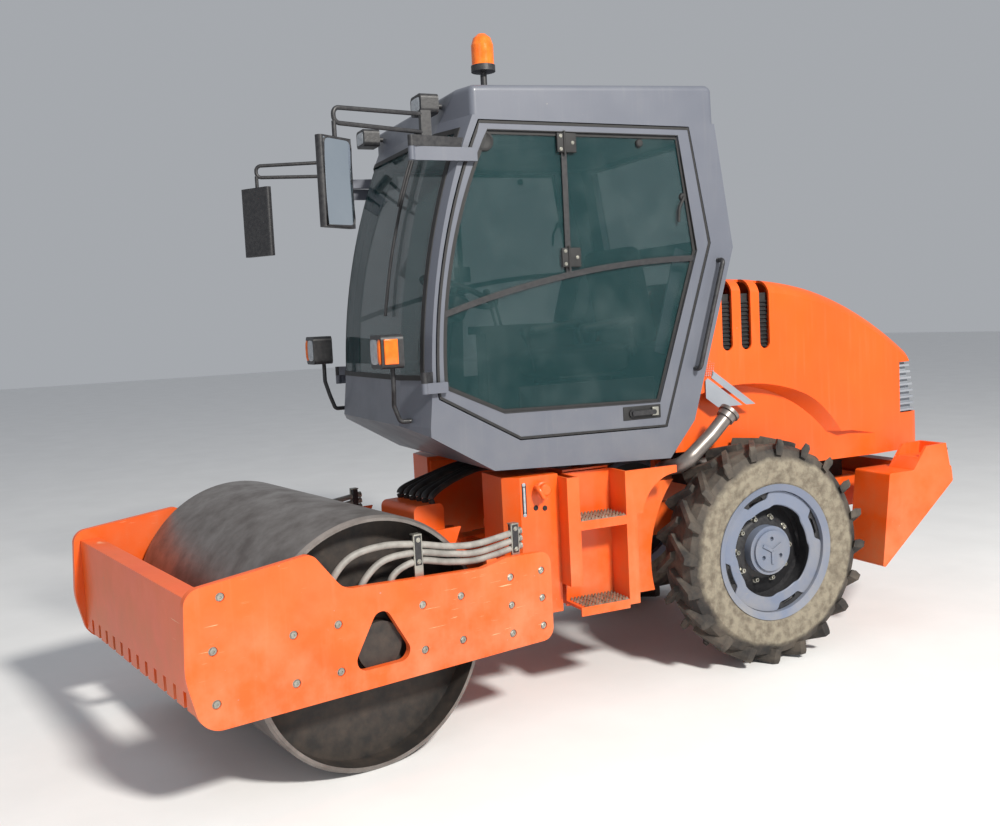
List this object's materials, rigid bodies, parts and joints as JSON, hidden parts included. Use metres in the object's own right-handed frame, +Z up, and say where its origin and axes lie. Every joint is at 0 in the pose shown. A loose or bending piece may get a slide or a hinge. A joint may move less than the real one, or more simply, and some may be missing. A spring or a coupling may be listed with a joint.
{
  "type": "road roller",
  "caption": "Articulated single-drum soil roller with a glazed cab, lugged rear tyres, steering and oscillation joints, opening doors and hood.",
  "frame": {"origin": "on the ground below the middle of the machine's overall box, as it stands steered to its left", "axes": "+Z up; the rear frame looks towards -Y and its left side is +X; the drum frame is turned about the steering pin towards +X"},
  "size_m": [1.8876, 4.3372, 2.9337],
  "materials": {
    "orange_paint": "gloss",
    "grey_paint": "satin",
    "steel": "worn",
    "tyre": "dusty",
    "rim_paint": "satin",
    "glass": "clear",
    "black_plastic": "matte",
    "seat_cloth": "woven",
    "galvanised": "dull",
    "dark_steel": "matte",
    "hose_rubber": "matte"
  },
  "bodies": {
    "rear_frame": {"chassis": "orange_paint", "hydraulic_tank": "orange_paint", "fuel_tank": "orange_paint", "step_left": "orange_paint", "step_right": "orange_paint", "rear_weight": "orange_paint", "rear_axle": "dark_steel", "engine": "dark_steel", "cab_floor": "grey_paint", "cab_frame": "grey_paint", "cab_roof": "grey_paint", "windshield": "glass", "rear_window": "glass", "seat": "seat_cloth", "steering_column": "black_plastic", "operator_console": "black_plastic", "mirrors": "black_plastic", "headlamps": "black_plastic", "roof_lamps": "black_plastic", "wiper": "black_plastic", "exhaust_pipe": "galvanised", "grab_handles": "black_plastic"},
    "door_left": {"door_left": "grey_paint", "door_glass_left": "glass"},
    "door_right": {"door_right": "grey_paint", "door_glass_right": "glass"},
    "hood": {"hood": "orange_paint", "hood_grille": "grey_paint"},
    "wheel_left": {"tyre_left": "tyre", "rim_left": "rim_paint"},
    "wheel_right": {"tyre_right": "tyre", "rim_right": "rim_paint"},
    "yoke": {"yoke": "orange_paint"},
    "drum_frame": {"side_plate_left": "orange_paint", "side_plate_right": "orange_paint", "front_beam": "orange_paint", "rear_crossbeam": "orange_paint", "drum_mounts": "dark_steel", "scrapers": "dark_steel", "drum_hoses": "hose_rubber"},
    "drum": {"drum": "steel"},
    "barrel_left": {"steer_barrel_left": "dark_steel"},
    "barrel_right": {"steer_barrel_right": "dark_steel"},
    "rod_left": {"steer_rod_left": "galvanised"},
    "rod_right": {"steer_rod_right": "galvanised"}
  },
  "joints": [
    {"name": "steer", "type": "hinge", "parent": "rear_frame", "child": "yoke", "pos_m": [-0.14696, -0.20143, 0.62], "axis": [0, 0, 1], "range_deg": [-41, 19]},
    {"name": "oscillate", "type": "hinge", "parent": "yoke", "child": "drum_frame", "pos_m": [-0.14696, -0.20143, 0.62], "axis": [0.1908, -0.9816, 0], "range_deg": [-10, 10]},
    {"name": "drum_spin", "type": "hinge", "parent": "drum_frame", "child": "drum", "pos_m": [0.06293, -1.28122, 0.495], "axis": [0.9816, 0.1908, 0], "continuous": true},
    {"name": "wheel_left_spin", "type": "hinge", "parent": "rear_frame", "child": "wheel_left", "pos_m": [0.48804, 0.89857, 0.54], "axis": [1, 0, 0], "continuous": true},
    {"name": "door_left_swing", "type": "hinge", "parent": "rear_frame", "child": "door_left", "pos_m": [0.49304, -0.80143, 1.9], "axis": [0, 0, -1], "range_deg": [0, 95]},
    {"name": "wheel_right_spin", "type": "hinge", "parent": "rear_frame", "child": "wheel_right", "pos_m": [-0.78196, 0.89857, 0.54], "axis": [1, 0, 0], "continuous": true},
    {"name": "door_right_swing", "type": "hinge", "parent": "rear_frame", "child": "door_right", "pos_m": [-0.78696, -0.80143, 1.9], "axis": [0, 0, 1], "range_deg": [0, 95]},
    {"name": "hood_lift", "type": "hinge", "parent": "rear_frame", "child": "hood", "pos_m": [-0.14696, 0.80857, 1.8], "axis": [1, 0, 0], "range_deg": [0, 50]},
    {"name": "cylinder_left_swing", "type": "hinge", "parent": "rear_frame", "child": "barrel_left", "pos_m": [0.05304, -0.03143, 0.62], "axis": [0, 0, 1], "range_deg": [-23, 12]},
    {"name": "cylinder_left_stroke", "type": "slide", "parent": "barrel_left", "child": "rod_left", "axis": [0.0368, -0.9993, 0], "range_m": [-0.063, 0.133]},
    {"name": "cylinder_right_swing", "type": "hinge", "parent": "rear_frame", "child": "barrel_right", "pos_m": [-0.34696, -0.03143, 0.62], "axis": [0, 0, 1], "range_deg": [-23, 12]},
    {"name": "cylinder_right_stroke", "type": "slide", "parent": "barrel_right", "child": "rod_right", "axis": [0.1648, -0.9863, 0], "range_m": [-0.139, 0.066]}
  ],
  "couplings": [
    {"joint": "cylinder_left_swing", "follows": "steer", "ratio": 0.52671},
    {"joint": "cylinder_left_stroke", "follows": "steer", "m_per_rad": -0.18349},
    {"joint": "cylinder_right_swing", "follows": "steer", "ratio": 0.52916},
    {"joint": "cylinder_right_stroke", "follows": "steer", "m_per_rad": 0.19154}
  ]
}
